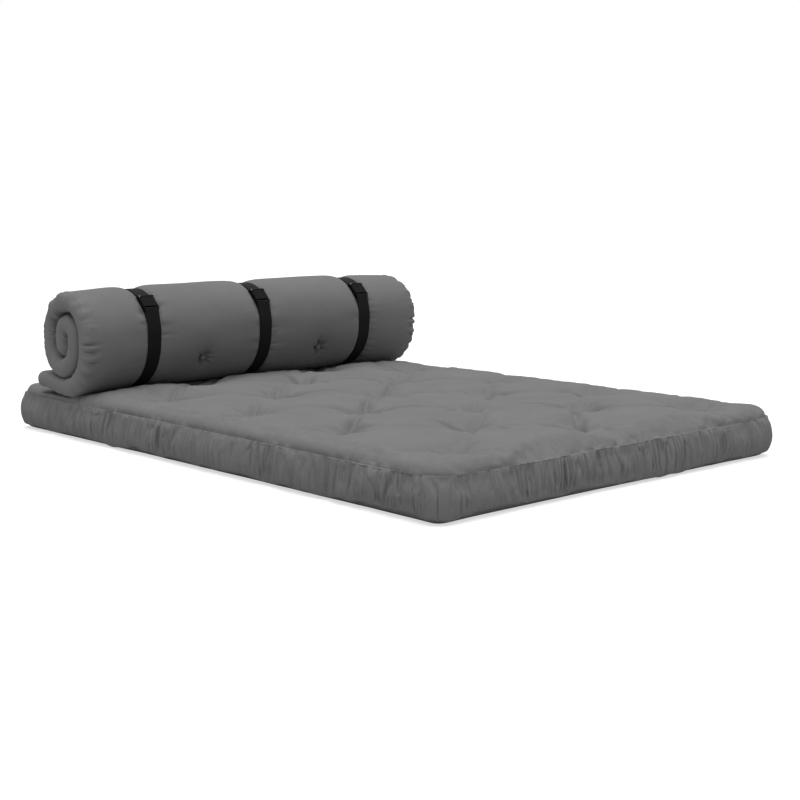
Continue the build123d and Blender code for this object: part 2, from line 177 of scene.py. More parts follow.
def close_doubles(piece, distance=0.00002):
    """Merge points that lie on each other and turn all faces outwards."""
    only(piece)
    bpy.ops.object.mode_set(mode="EDIT")
    bpy.ops.mesh.select_all(action="SELECT")
    bpy.ops.mesh.remove_doubles(threshold=distance)
    bpy.ops.mesh.normals_make_consistent(inside=False)
    bpy.ops.object.mode_set(mode="OBJECT")


def refine(piece, levels=1):
    only(piece)
    step = piece.modifiers.new("finer", "SUBSURF")
    step.levels = levels
    step.render_levels = levels
    step.boundary_smooth = "PRESERVE_CORNERS"
    bpy.ops.object.modifier_apply(modifier=step.name)


def plump(piece, held, pressure, spare, limit, frames=20, stiffness=18.0, bending=0.4):
    """Let the stuffing press the cloth out as a simulation, with the held points kept in place."""
    start = points_of(piece)
    only(piece)
    group = piece.vertex_groups.new(name="held")
    group.add([int(i) for i in np.flatnonzero(held)], 1.0, "REPLACE")
    cloth = piece.modifiers.new("stuffed", "CLOTH")
    cloth.settings.quality = 5
    cloth.settings.mass = 0.3
    cloth.settings.air_damping = 3.0
    cloth.settings.tension_stiffness = stiffness
    cloth.settings.compression_stiffness = stiffness
    cloth.settings.shear_stiffness = stiffness * 0.4
    cloth.settings.bending_stiffness = bending
    cloth.settings.vertex_group_mass = group.name
    cloth.settings.use_pressure = True
    cloth.settings.uniform_pressure_force = pressure
    cloth.settings.shrink_min = -spare
    cloth.settings.shrink_max = -spare
    cloth.settings.effector_weights.gravity = 0.0
    cloth.collision_settings.use_collision = False
    cloth.point_cache.frame_start = 1
    cloth.point_cache.frame_end = frames
    for number in range(1, frames + 1):
        scene.frame_set(number)
    bpy.ops.object.modifier_apply(modifier=cloth.name)
    scene.frame_set(1)
    piece.vertex_groups.clear()
    moved = points_of(piece) - start
    length = np.linalg.norm(moved, axis=1)
    share = np.where(length > limit, limit / np.maximum(length, 1e-9), 1.0)
    place_points(piece, start + moved * share[:, None])


def drawn_in(points):
    """Pull the long edges in a little between the corners."""
    x = points[:, 0].copy()
    y = points[:, 1].copy()
    points[:, 0] = x * (1.0 - DRAW_IN / HALF_WIDTH * np.clip(1.0 - (y / 0.94) ** 2, 0, 1))
    points[:, 1] = y * (1.0 - DRAW_IN / HALF_LENGTH * np.clip(1.0 - (x / 0.64) ** 2, 0, 1))
    return points


def corner_radius(inset):
    return CORNER - 0.35 * inset


def beside_seam(number, count, half):
    """Even spacing across a panel, with close rows of points beside each seam."""
    even = np.linspace(-half + 0.042, half - 0.042, count - 13)
    close = np.array([0.0, 0.0014, 0.0050, 0.0100, 0.0160, 0.0230, 0.0320])
    place = np.concatenate([-half + close, even, half - close[::-1]])
    return place[number]


def panel_plan(i, j, columns, rows, inset):
    """Place a grid inside the rounded outline of the mattress, and measure from its edge."""
    a = HALF_WIDTH - inset
    b = HALF_LENGTH - inset
    radius = corner_radius(inset)
    x = beside_seam(i, columns, a)
    y = beside_seam(j, rows, b)
    p = (np.abs(x) - (a - radius)) / radius
    q = (np.abs(y) - (b - radius)) / radius
    in_corner = (p > 0) & (q > 0)
    pc = np.clip(p, 0, 1)
    qc = np.clip(q, 0, 1)
    px = np.where(in_corner, pc * np.sqrt(1.0 - qc * qc / 2.0), p)
    qy = np.where(in_corner, qc * np.sqrt(1.0 - pc * pc / 2.0), q)
    x = np.sign(x) * (a - radius + px * radius)
    y = np.sign(y) * (b - radius + qy * radius)
    round_edge = radius * (1.0 - np.hypot(px, qy))
    edge = np.where(in_corner, round_edge, np.minimum(a - np.abs(x), b - np.abs(y)))
    return x, y, edge


def roll_bed(x, y):
    """Height that the roll presses the top of the mattress down to."""
    droop = 0.009 * smooth(0.45, 0.69, np.abs(x))
    bed = np.interp(y, [0.60, 0.634, 0.686, 0.868, 0.930, 0.99], [0.160, 0.152, 0.1372, 0.1372, 0.150, 0.160])
    return bed - droop


def tuft_distance(x, y):
    return np.min([np.hypot(x - tx, y - ty) for tx, ty in TUFTS], axis=0)


def crease(x, y, start, end, width, depth, curve=0.0, fade=0.45):
    """Fold pressed along a bowed line, deepest near its start and fading to its end."""
    dx = end[0] - start[0]
    dy = end[1] - start[1]
    length = math.hypot(dx, dy)
    along = ((x - start[0]) * dx + (y - start[1]) * dy) / length ** 2
    off = ((x - start[0]) * dy - (y - start[1]) * dx) / length
    bow = np.clip(along, 0, 1) * (1.0 - np.clip(along, 0, 1)) * 4.0
    off = off - curve * bow
    run = smooth(-0.05, 0.08, along) * (1.0 - smooth(fade, 1.0, along))
    valley = np.exp(-np.abs(off) / width)
    lips = np.exp(-(((np.abs(off) - 2.6 * width) / (1.6 * width)) ** 2)) * 0.30
    return -depth * run * (valley - lips)


def tuft_creases(x, y):
    """All folds that the tufts draw across the top."""
    lift = np.zeros_like(x)
    for number, (tx, ty) in enumerate(TUFTS):
        near = np.hypot(x - tx, y - ty) < 0.36
        xs = x[near]
        ys = y[near]
        part = np.zeros_like(xs)
        for k in range(4):
            seed = number * 13.7 + k * 3.1
            wobble = math.sin(seed * 12.9898) * 0.25
            angle = k * math.pi * 0.5 + wobble
            reach = 0.080 + 0.090 * (0.5 + 0.5 * math.sin(seed * 7.233))
            end = (tx + reach * math.cos(angle), ty + reach * math.sin(angle))
            depth = 0.0070 + 0.0060 * (0.5 + 0.5 * math.sin(seed * 4.1))
            part += crease(xs, ys, (tx, ty), end, 0.0060, depth, 0.020 * math.sin(seed * 5.7))
        for other, (ox, oy) in enumerate(TUFTS):
            if other == number or not 0.1 < math.hypot(ox - tx, oy - ty) < 0.34:
                continue
            seed = number * 5.3 + other * 9.1
            depth = 0.0140 + 0.0060 * math.sin(seed)
            reach = 0.66 + 0.34 * math.sin(seed * 2.3)
            end = (tx + (ox - tx) * reach, ty + (oy - ty) * reach)
            part += crease(xs, ys, (tx, ty), end, 0.0105, depth, 0.035 * math.sin(seed * 3.7), 0.20)
        lift[near] += part
    return lift


def border_measure(x, y):
    """Measure along the border at the edge point next to a place on a panel."""
    wide = 2.0 * (HALF_WIDTH - CORNER)
    long = 2.0 * (HALF_LENGTH - CORNER)
    turn = 0.5 * math.pi * CORNER
    front = 0.5 * turn + 0.5 * wide + x
    right = 1.5 * turn + wide + 0.5 * long + y
    back = 2.5 * turn + 1.5 * wide + long - x
    left = 3.5 * turn + 2.0 * wide + 1.5 * long - y
    beside = HALF_WIDTH - np.abs(x) < HALF_LENGTH - np.abs(y)
    return np.where(beside, np.where(x > 0, right, left), np.where(y < 0, front, back))


def gathering(along, up):
    """Gathers over the border and on over its seam: 0 on a swell, lower in a pleat."""
    clusters = 0.42 + 0.58 * smooth(-0.15, 0.55, uneven(along / 0.16, 0.0 * along, 9))
    lean = 0.020 * uneven(along / 0.1, 0.0 * along, 31)
    pleats = folds((along + lean * up) / 0.0190, up / 1.5, 12)
    pleats += 0.60 * folds((along - lean * up) / 0.0105, up / 1.1, 13)
    return np.maximum(pleats, -1.05) * clusters


def corner_lift(from_corner):
    """How much higher the upper seam runs round the corners."""
    return 0.0050 * np.exp(-((from_corner / 0.07) ** 2))


def make_top_cover():
    """Top panel of the mattress: crowned, drawn down at every tuft, pressed in under the roll."""
    columns = 130
    rows = 186
    piece, i, j = cloth_grid("mattress_top_cover", columns, rows)
    x, y, edge = panel_plan(i, j, columns, rows, SEAM_INSET)
    lay_threads(piece, x, y)
    far = tuft_distance(x, y)
    z = TOP_SEAM + SHOULDER_RISE * (1.0 - np.exp(-edge / SHOULDER_REACH))
    z += CROWN_RISE * (1.0 - np.exp(-edge / CROWN_REACH))
    z -= np.where(edge < 0.0007, SEAM_SINK, 0.0)
    z += corner_lift(np.hypot(HALF_WIDTH - SEAM_INSET - np.abs(x), HALF_LENGTH - SEAM_INSET - np.abs(y)) - 0.012)
    drop = 0.0155 * np.exp(-np.maximum(far - 0.008, 0.0) / 0.021) + 0.0185 * np.exp(-((far / 0.115) ** 2))
    z -= drop * smooth(0.0, 0.10, edge)
    under_roll = roll_bed(x, y) < 0.1515
    z = np.minimum(z, roll_bed(x, y))
    place_points(piece, drawn_in(np.stack([x, y, z], axis=1)))
    held = (edge < 0.0005) | (far < 0.010) | under_roll
    plump(piece, held, 3.0, 0.028, 0.012)
    refine(piece)
    points = points_of(piece)
    x = points[:, 0]
    y = points[:, 1]
    flat_x, flat_y = threads_of(piece)
    from_side = HALF_WIDTH - SEAM_INSET - np.abs(flat_x)
    from_end = HALF_LENGTH - SEAM_INSET - np.abs(flat_y)
    edge = np.minimum(from_side, from_end)
    points[:, 2] += tuft_creases(x, y) * smooth(0.0, 0.06, edge)
    points[:, 2] += 0.0012 * uneven(x / 0.07, y / 0.07, 3) * smooth(0.0, 0.05, edge)
    along = border_measure(flat_x, flat_y)
    reach = 0.055 + 0.040 * uneven(along / 0.07, 0.0 * along, 8)
    fade = smooth(0.0, 0.003, edge) * (1.0 - smooth(0.15, 1.0, edge / reach))
    fade = fade * smooth(0.03, 0.10, np.hypot(from_side, from_end))
    up = 1.0 + edge / (TOP_SEAM - BOTTOM_SEAM)
    gathers = 0.25 * (gathering(along - 0.003, up) + 2.0 * gathering(along, up) + gathering(along + 0.003, up))
    points += normals_of(piece) * (0.0090 * (gathers + 0.5) * fade)[:, None]
    inside = smooth(0.05, 0.08, edge)
    points[:, 2] = np.maximum(points[:, 2], 0.1158 * inside)
    points[:, 2] = np.minimum(points[:, 2], roll_bed(x, y) + 0.0005)
    place_points(piece, points)
    return piece


LONG_STEPS = 384
WIDE_STEPS = 260
TURN_STEPS = 20
BORDER_COLUMNS = 2 * (LONG_STEPS + WIDE_STEPS) + 4 * TURN_STEPS
CORNER_COLUMNS = [0]
for count in (WIDE_STEPS, LONG_STEPS, WIDE_STEPS, LONG_STEPS):
    CORNER_COLUMNS.append(CORNER_COLUMNS[-1] + count + TURN_STEPS)


def border_outline(inset):
    """Closed plan line at one inset, counter-clockwise, starting at the middle of the near left corner."""
    a = HALF_WIDTH - inset
    b = HALF_LENGTH - inset
    radius = corner_radius(inset)
    line = []
    outward = []
    corners = [(-1, -1, 225), (1, -1, 270), (1, 1, 0), (-1, 1, 90), (-1, -1, 180)]
    steps = [WIDE_STEPS, LONG_STEPS, WIDE_STEPS, LONG_STEPS]
    for number, (sx, sy, first) in enumerate(corners):
        sweep = 45 if number in (0, 4) else 90
        count = TURN_STEPS // 2 if number in (0, 4) else TURN_STEPS
        cx = sx * (a - radius)
        cy = sy * (b - radius)
        for k in range(count + 1):
            turn = math.radians(first + sweep * k / count)
            line.append((cx + radius * math.cos(turn), cy + radius * math.sin(turn)))
            outward.append((math.cos(turn), math.sin(turn)))
        if number < 4:
            nx, ny, _ = corners[number + 1]
            end_turn = math.radians(first + sweep)
            bx = nx * (a - radius) + radius * math.cos(end_turn)
            by = ny * (b - radius) + radius * math.sin(end_turn)
            start = line[-1]
            for k in range(1, steps[number]):
                t = k / steps[number]
                line.append((start[0] + (bx - start[0]) * t, start[1] + (by - start[1]) * t))
                outward.append(outward[-1])
    return np.array(line), np.array(outward)


def length_along(line):
    """Length from the start of a line to each of its points."""
    return np.concatenate([[0.0], np.cumsum(np.linalg.norm(np.diff(line, axis=0), axis=1))])


def lower_edge(along):
    """How far the lower edge of the border rises and dips along its length."""
    return 0.0060 * uneven(along / 0.13, 0.0 * along, 21) + 0.0028 * uneven(along / 0.045, 0.0 * along, 22)


BORDER_STOPS = np.array([0.0, 0.015, 0.06, 0.15, 0.28, 0.41, 0.54, 0.66, 0.77, 0.86, 0.93, 0.975, 0.992, 1.0])


def make_border():
    """Border of the mattress: gathered strips, sewn at the corners, bulging between their seams."""
    rows = len(BORDER_STOPS) - 1
    piece, i, j = cloth_grid("mattress_border", BORDER_COLUMNS, rows)
    widest, outward = border_outline(-FULLNESS)
    seam, _ = border_outline(SEAM_INSET - SEAM_TUCK)
    sewn, _ = border_outline(SEAM_INSET)
    length = length_along(widest)
    t = BORDER_STOPS[j]
    along = length[i]
    from_corner = np.min([np.abs(along - length[c]) for c in CORNER_COLUMNS], axis=0)
    rise = np.where(t < 0.45, t / 0.9, 0.5 + (t - 0.45) / 1.1)
    share = np.clip(np.sin(math.pi * rise), 0.0, 1.0) ** np.where(t < 0.45, 0.60, 0.85)
    share = share[:, None]
    tuck = 0.003 * np.exp(-((from_corner / 0.004) ** 2)) * np.sin(math.pi * t)
    plan = seam[i] * (1.0 - share) + widest[i] * share - outward[i] * tuck[:, None]
    ends = (j == 0) | (j == rows)
    plan[ends] = sewn[i[ends]]
    z = BOTTOM_SEAM + (TOP_SEAM + corner_lift(from_corner) - BOTTOM_SEAM) * t + lower_edge(along) * (1.0 - t) ** 2
    z = z + np.where(j == rows, -SEAM_SINK, 0.0) + np.where(j == 0, 0.001, 0.0)
    lay_threads(piece, along, (TOP_SEAM - BOTTOM_SEAM) * t)
    points = drawn_in(np.column_stack([plan, z]))
    place_points(piece, points)
    held = ends | (from_corner < 0.001)
    plump(piece, held, 1.2, 0.035, 0.008, bending=0.1)
    refine(piece, 2)
    points = points_of(piece)
    along, height = threads_of(piece)
    up = height / (TOP_SEAM - BOTTOM_SEAM)
    from_corner = np.min([np.abs(along - length[c]) for c in CORNER_COLUMNS], axis=0)
    reach = smooth(0.0, 0.30, up) * smooth(0.0, 0.03, 1.0 - up) * (0.40 + 0.60 * smooth(0.0, 0.22, 1.0 - up))
    swell = 0.0028 * uneven(along / 0.11, up / 0.8, 14) * smooth(0.0, 0.2, up) * smooth(0.0, 0.2, 1.0 - up)
    move = 0.0105 * gathering(along, up) * reach * smooth(0.008, 0.075, from_corner)
    move += swell * smooth(0.002, 0.012, from_corner)
    points += normals_of(piece) * move[:, None]
    place_points(piece, points)
    sides = []
    for number, name in ((1, "border_right"), (2, "border_back"), (3, "border_left")):
        sides.append(cut_off(piece, length[CORNER_COLUMNS[number]], length[CORNER_COLUMNS[number + 1]], name))
    piece.name = "border_front"
    piece.data.name = "border_front"
    return [piece] + sides


def cut_off(piece, first, last, name):
    """Separate the stretch of a strip between two measures along it."""
    only(piece)
    mesh = piece.data
    along, _ = threads_of(piece)
    corners = np.empty(len(mesh.loops), dtype=int)
    mesh.loops.foreach_get("vertex_index", corners)
    middle = along[corners].reshape(-1, 4).mean(axis=1)
    bpy.ops.object.mode_set(mode="EDIT")
    bpy.ops.mesh.select_mode(type="FACE")
    bpy.ops.mesh.select_all(action="DESELECT")
    bpy.ops.object.mode_set(mode="OBJECT")
    mesh.polygons.foreach_set("select", (first < middle) & (middle < last))
    bpy.ops.object.mode_set(mode="EDIT")
    bpy.ops.mesh.separate(type="SELECTED")
    bpy.ops.object.mode_set(mode="OBJECT")
    part = [o for o in bpy.context.selected_objects if o is not piece][0]
    part.name = name
    part.data.name = name
    return part


def make_bottom_cover():
    """Underside panel: flat where it lies on the floor, drawn up a little at each tuft."""
    columns = 80
    rows = 114
    piece, i, j = cloth_grid("mattress_bottom_cover", columns, rows)
    x, y, edge = panel_plan(i, j, columns, rows, SEAM_INSET)
    lay_threads(piece, x, y)
    far = tuft_distance(x, y)
    widest, _ = border_outline(-FULLNESS)
    length = length_along(widest)
    seam, _ = border_outline(SEAM_INSET)
    rim = edge < 0.03
    along = np.zeros_like(x)
    nearest = [int(np.argmin((seam[:, 0] - px) ** 2 + (seam[:, 1] - py) ** 2)) for px, py in zip(x[rim], y[rim])]
    along[rim] = length[nearest]
    rise = (BOTTOM_SEAM + 0.001 + lower_edge(along)) * np.clip(1.0 - edge / 0.022, 0.0, 1.0) ** 1.6
    rise += 0.010 * np.exp(-np.maximum(far - 0.010, 0.0) / 0.022)
    place_points(piece, drawn_in(np.stack([x, y, rise], axis=1)))
    only(piece)
    bpy.ops.object.mode_set(mode="EDIT")
    bpy.ops.mesh.select_all(action="SELECT")
    bpy.ops.mesh.flip_normals()
    bpy.ops.object.mode_set(mode="OBJECT")
    refine(piece)
    return piece


def wound_line(circles, step=0.002):
    """Line wound counter-clockwise round circles: points, heading and length from the start."""
    headings = []
    for (ay, az, ar), (by, bz, br) in zip(circles, circles[1:]):
        way = math.atan2(bz - az, by - ay)
        heading = way + math.asin((ar - br) / math.hypot(by - ay, bz - az))
        if headings:
            while heading < headings[-1] - 1e-9:
                heading += 2.0 * math.pi
        headings.append(heading)
    line = []
    for number, (y, z, r) in enumerate(circles):
        first = headings[max(number - 1, 0)]
        last = headings[min(number, len(headings) - 1)]
        count = max(2, int(math.ceil((last - first) * max(r, 0.0005) / step)) + 1) if last > first else 1
        for k in range(count):
            heading = first + (last - first) * k / max(count - 1, 1)
            line.append((y + r * math.sin(heading), z - r * math.cos(heading), heading))
    dense = [line[0]]
    for before, here in zip(line, line[1:]):
        gap = math.hypot(here[0] - before[0], here[1] - before[1])
        count = max(1, int(gap / step))
        for k in range(1, count + 1):
            t = k / count
            dense.append(tuple(b + (h - b) * t for b, h in zip(before, here)))
    dense = np.array(dense)
    run = np.concatenate([[0.0], np.cumsum(np.hypot(np.diff(dense[:, 0]), np.diff(dense[:, 1])))])
    return dense, run


def near_strap(x):
    """Distance from the edge of the nearest strap."""
    return np.min([np.abs(x - s) for s in STRAP_X], axis=0) - STRAP_HALF


def roll_swell(x, from_buckle):
    """Half thickness of the outermost layer's outer side: drawn in at the straps, full between them."""
    at_buckle = np.exp(-((from_buckle / 0.045) ** 4))
    away = np.maximum(near_strap(x) - 0.006 * at_buckle, 0.0)
    bed = STRAP_BED - 0.0002 - 0.0017 * at_buckle
    return bed + (0.0368 - bed) * (1.0 - np.exp(-((away / 0.015) ** 0.8)))


def topper_tuft_spot(where):
    """Place and outward direction of a topper tuft in the plane across the roll."""
    circle, turn = (FRONT_TURN, math.radians(207.4)) if where == "front" else (TOP_TURN, 0.0)
    out = (math.cos(turn), math.sin(turn))
    reach = circle[2] + HALF_LAYER
    return (circle[0] + reach * out[0], circle[1] + reach * out[1]), out


def tuft_view(points, where):
    """Outward direction of a topper tuft, and each point's place beside it and outward from it."""
    (ty, tz), out = topper_tuft_spot(where)
    y = points[:, 1] - ty
    z = points[:, 2] - tz
    return out, y * -out[1] + z * out[0], y * out[0] + z * out[1]


def crowded(first, last, count, spots, width):
    """Places from first to last that lie closer together round some spots."""
    fine = np.linspace(first, last, 4000)
    density = 1.0 + 1.3 * sum(np.exp(-(((fine - spot) / width) ** 2)) for spot in spots)
    total = np.concatenate([[0.0], np.cumsum((density[1:] + density[:-1]) * np.diff(fine) / 2.0)])
    return np.interp(np.linspace(0.0, total[-1], count), total, fine)


# Creases round a button of the topper: angle from straight up, and length
TUFT_RAYS = [(0.15, 0.062), (-0.50, 0.050), (0.72, 0.054), (-1.15, 0.040)]
TUFT_RAYS += [(1.45, 0.044), (2.35, 0.042), (-2.20, 0.038), (3.05, 0.056)]


def make_roll():
    """Topper rolled up: one padded layer wound round itself, closed by a seam all round its edges."""
    dense, run = wound_line(ROLL_CIRCLES)
    total = run[-1]
    shown = total - 0.86
    tuft_runs = []
    for where in ("front", "back"):
        (ty, tz), _ = topper_tuft_spot(where)
        gap = np.hypot(dense[:, 0] - ty, dense[:, 1] - tz) + (run < shown)
        tuft_runs.append(run[np.argmin(gap)])
    inner = np.linspace(0.0, shown, 45)[:-1]
    stops = np.concatenate([inner, crowded(shown, total, 226, tuft_runs, 0.040)])
    mid = np.column_stack([np.interp(stops, run, dense[:, 0]), np.interp(stops, run, dense[:, 1])])
    heading = np.interp(stops, run, dense[:, 2])
    cap = 9
    ends = np.array([0.0, 0.0012, 0.0045, 0.0100, 0.0180, 0.0280, 0.0400])
    limit = HALF_ROLL - 0.0500
    strap_edges = [x + side for x in STRAP_X for side in (-0.036, 0.036)]
    body = crowded(-limit, limit, 164, [x for x, where in TOPPER_TUFTS[:2]] + strap_edges, 0.022)
    stations = np.concatenate([ends - HALF_ROLL, body, HALF_ROLL - ends[::-1]])
    columns = 2 * len(stops) + 2 * cap
    rows = len(stations) - 1
    piece, i, j = cloth_grid("topper_roll", columns, rows)
    i = i % columns
    count = len(stops)
    second = count + cap
    parts = [i < count, i < second, i < second + count]
    k = np.select(parts, [i, count - 1, second + count - 1 - i], 0)
    round_tail = -0.5 * math.pi + math.pi * (i - count + 1) / (cap + 1)
    round_start = 0.5 * math.pi + math.pi * (i - second - count + 1) / (cap + 1)
    turn = np.select(parts, [-0.5 * math.pi, round_tail, 0.5 * math.pi], round_start)
    x = stations[j]
    edge = HALF_ROLL - np.abs(x)
    s = stops[k]
    facing = -np.sin(turn)
    outermost = smooth(shown - 0.05, shown + 0.04, s)
    under = smooth(total - 0.20, total - 0.10, s)
    room = np.full(len(stops), 2.0 * HALF_LAYER)
    for n in np.flatnonzero(stops < shown + 0.05):
        later = run > stops[n] + 0.24
        room[n] = np.min(np.hypot(dense[later, 0] - mid[n, 0], dense[later, 1] - mid[n, 1]))
    spread = np.clip(room - HALF_LAYER, 0.028, 0.044)
    core = 1.0 - smooth(0.0, 0.075, s)
    plain = HALF_LAYER + (spread[k] - HALF_LAYER) * (facing > 0.99) * (1.0 - smooth(shown - 0.1, shown, s))
    plain = np.maximum(plain, HALF_LAYER + 0.0085 * core) - 0.0008
    plain = plain - 0.0035 * smooth(total - 0.10, total, s)
    buckle_s = stops[np.argmin(np.hypot(mid[:, 0] - BUCKLE_SPOT[0], mid[:, 1] - BUCKLE_SPOT[1]) + (stops < shown))]
    full = plain + (roll_swell(x, s - buckle_s) - plain) * outermost
    full = np.where(full > plain, plain + (full - plain) * (1.0 - under), full)
    thick = plain + (full - plain) * (0.5 + 0.5 * facing)
    fall = 1.0 - np.clip(edge / 0.026, 0, 1)
    round_edge = np.clip(1.0 - fall ** 2.3, 0, 1) ** (1.0 / 2.3)
    thick = thick * round_edge
    direction = heading[k] + turn
    y = mid[k, 0] + thick * np.cos(direction)
    z = mid[k, 1] + thick * np.sin(direction)
    at_end = smooth(0.45, 0.69, np.abs(x))
    z = z - 0.009 * at_end * (1.0 - smooth(total - 0.16, total - 0.02, s))
    z = z + 0.006 * at_end * smooth(total - 0.12, total, s)
    along = np.where(turn < 0, s, 2.0 * total - s)
    place_points(piece, np.stack([x, y, z], axis=1))
    lay_threads(piece, x, along)
    values = {"run": s, "facing": facing}
    for name, array in values.items():
        piece.data.attributes.new(name, "FLOAT", "POINT").data.foreach_set("value", array)
    close_doubles(piece, 0.00001)
    points = points_of(piece)
    for name in values:
        values[name] = np.empty(len(points))
        piece.data.attributes[name].data.foreach_get("value", values[name])
    x = points[:, 0]
    away = near_strap(x)
    edge = HALF_ROLL - np.abs(x)
    free = (values["facing"] > 0.9) & (values["run"] > shown + 0.02) & (values["run"] < total - 0.16)
    free &= (away > 0.004) & (edge > 0.02)
    for tx, where in TOPPER_TUFTS:
        out, side, deep = tuft_view(points, where)
        gap = np.hypot(x - tx, side * 0.75)
        outer = (values["facing"] > 0.5) & (values["run"] > shown) & (deep > -0.08)
        free &= ~(outer & (gap < 0.012))
        depth = 0.0150 * np.exp(-np.maximum(gap - 0.0115, 0.0) / 0.010) + 0.0060 * np.exp(-((gap / 0.045) ** 2))
        points -= np.array([0.0, *out])[None, :] * np.where(outer, depth, 0.0)[:, None]
    place_points(piece, points)
    plump(piece, ~free, 1.2, 0.002, 0.004, frames=12, bending=3.0)
    points = points_of(piece)
    normals = normals_of(piece)
    x = points[:, 0]
    s = values["run"]
    top = smooth(0.2, 0.9, values["facing"]) * smooth(shown - 0.02, shown + 0.05, s)
    beside = np.where(away > 0.0, np.exp(-np.maximum(away, 0.0) / 0.024) * smooth(0.001, 0.006, away), 0.0)
    clusters = 0.25 + 0.75 * smooth(-0.3, 0.5, uneven(s / 0.09, np.rint(x / 0.2), 41))
    move = 0.0105 * folds(s / 0.018, x / 0.08, 42) * beside * clusters * top
    move += 0.0016 * uneven(x / 0.13, s / 0.10, 43) * top * smooth(0.0, 0.05, away)
    gather = folds(s / 0.0165, edge / 0.09, 44) + 0.7 * folds(s / 0.012, edge / 0.06, 45)
    rim = 0.35 + 0.65 * smooth(-0.3, 0.4, uneven(s / 0.10, 0.0 * s, 47))
    move += 0.0092 * (gather + 0.35 * top) * rim * (1.0 - smooth(0.014, 0.058, edge)) * smooth(0.001, 0.006, edge)
    for tx, where in TOPPER_TUFTS:
        _, side, deep = tuft_view(points, where)
        upward = -1.0 if where == "front" else 1.0
        rays = np.zeros_like(x)
        for number, (angle, reach) in enumerate(TUFT_RAYS):
            bend = 0.004 * math.sin(number * 2.1 + tx * 9.0)
            turn = angle + 0.25 * math.sin(number * 3.7 + tx * 23.0)
            end = (tx + reach * math.sin(turn), upward * reach * math.cos(turn))
            rays += crease(x, side, (tx, 0.0), end, 0.0032, 0.0062, bend, 0.35)
        clear = smooth(0.0095, 0.0150, np.hypot(x - tx, side))
        move += np.maximum(rays, -0.008) * clear * (values["facing"] > 0.5) * top * (deep > -0.08)
    points += normals * move[:, None]
    place_points(piece, points)
    return piece


def joined(pieces, name):
    """Join copies into one piece with its place in its mesh."""
    bpy.ops.object.select_all(action="DESELECT")
    for piece in pieces:
        piece.select_set(True)
    bpy.context.view_layer.objects.active = pieces[0]
    if len(pieces) > 1:
        bpy.ops.object.join()
    bpy.ops.object.transform_apply(location=True, rotation=True, scale=True)
    piece = bpy.context.object
    piece.name = name
    piece.data.name = name
    return piece


def copy_to(piece, place, outward):
    """Copy of a small piece with its own mesh, standing at a place and facing outward."""
    twin = piece.copy()
    twin.data = piece.data.copy()
    scene.collection.objects.link(twin)
    twin.location = place
    twin.rotation_mode = "QUATERNION"
    twin.rotation_quaternion = Vector(outward).to_track_quat("Z", "Y")
    return twin


def make_button(radius, height):
    """Covered button: a low disc with a domed top and a rolled rim."""
    bpy.ops.object.select_all(action="DESELECT")
    rise = height * 0.5
    bpy.ops.mesh.primitive_cylinder_add(vertices=24, radius=radius * 0.86, depth=rise, location=(0, 0, rise / 2))
    button = bpy.context.object
    bpy.ops.object.transform_apply(location=True)
    mesh = button.data
    bpy.ops.object.mode_set(mode="EDIT")
    bpy.ops.mesh.select_mode(type="FACE")
    bpy.ops.mesh.select_all(action="DESELECT")
    bpy.ops.object.mode_set(mode="OBJECT")
    for face in mesh.polygons:
        face.select = face.normal.z > 0.9
    bpy.ops.object.mode_set(mode="EDIT")
    for inward, lift in ((-0.14, 0.10), (0.07, 0.20), (0.25, 0.17), (0.28, 0.10), (0.22, 0.03)):
        bpy.ops.mesh.extrude_region_move(TRANSFORM_OT_translate={"value": (0, 0, height * lift)})
        size = 1.0 - inward
        bpy.ops.transform.resize(value=(size, size, 1.0), center_override=(0, 0, 0))
    bpy.ops.mesh.poke()
    bpy.ops.object.mode_set(mode="OBJECT")
    rounding = button.modifiers.new("rounding", "BEVEL")
    rounding.width = height * 0.06
    rounding.segments = 2
    rounding.limit_method = "ANGLE"
    rounding.angle_limit = math.radians(50)
    bpy.ops.object.modifier_apply(modifier=rounding.name)
    return button


def make_mattress_buttons(name, height, outward):
    button = make_button(0.0100, 0.006)
    copies = [copy_to(button, (x, y, height), outward) for x, y in TUFTS]
    bpy.data.objects.remove(button)
    return joined(copies, name)


def make_topper_buttons():
    """Buttons sewn into the outer side of the roll."""
    button = make_button(0.0105, 0.0105)
    copies = []
    for x, where in TOPPER_TUFTS:
        (y, z), out = topper_tuft_spot(where)
        spot = (x, y - out[0] * TOPPER_BUTTON_SUNK, z - out[1] * TOPPER_BUTTON_SUNK)
        copies.append(copy_to(button, spot, (0.0, *out)))
    bpy.data.objects.remove(button)
    return joined(copies, "topper_buttons")


LEAN = math.radians(45.0)
BUCKLE_BASE = 0.1309
OUTER_WEBBING = 0.1344


def buckle_spot(u, w):
    """Point (y, z) at a place in the buckle: u up the strap, w outward."""
    out = BUCKLE_BASE + w
    y = TOP_TURN[0] - out * math.cos(LEAN) + u * math.sin(LEAN)
    z = TOP_TURN[1] + out * math.sin(LEAN) + u * math.cos(LEAN)
    return (y, z)


def on_roll(radius, turn):
    """Point (y, z) at an angle below the buckle, on a circle about the roll's upper centre."""
    angle = math.pi - LEAN + math.radians(turn)
    return (TOP_TURN[0] + radius * math.cos(angle), TOP_TURN[1] + radius * math.sin(angle))


STRAP_CIRCLES = [
    (*on_roll(0.1322, 30.0), 0.0),
    (*buckle_spot(-0.030, 0.0062), 0.0032),
    (TOP_TURN[0], TOP_TURN[1], OUTER_WEBBING),
    (FRONT_TURN[0], FRONT_TURN[1], 0.1604),
    (0.850, 0.1735, 0.0309),
    (TOP_TURN[0], TOP_TURN[1], 0.1319),
    (*buckle_spot(0.026, -0.004), 0.005),
    (*buckle_spot(-0.008, -0.004), 0.005),
    (*on_roll(0.1301, 20.0), 0.0),
]


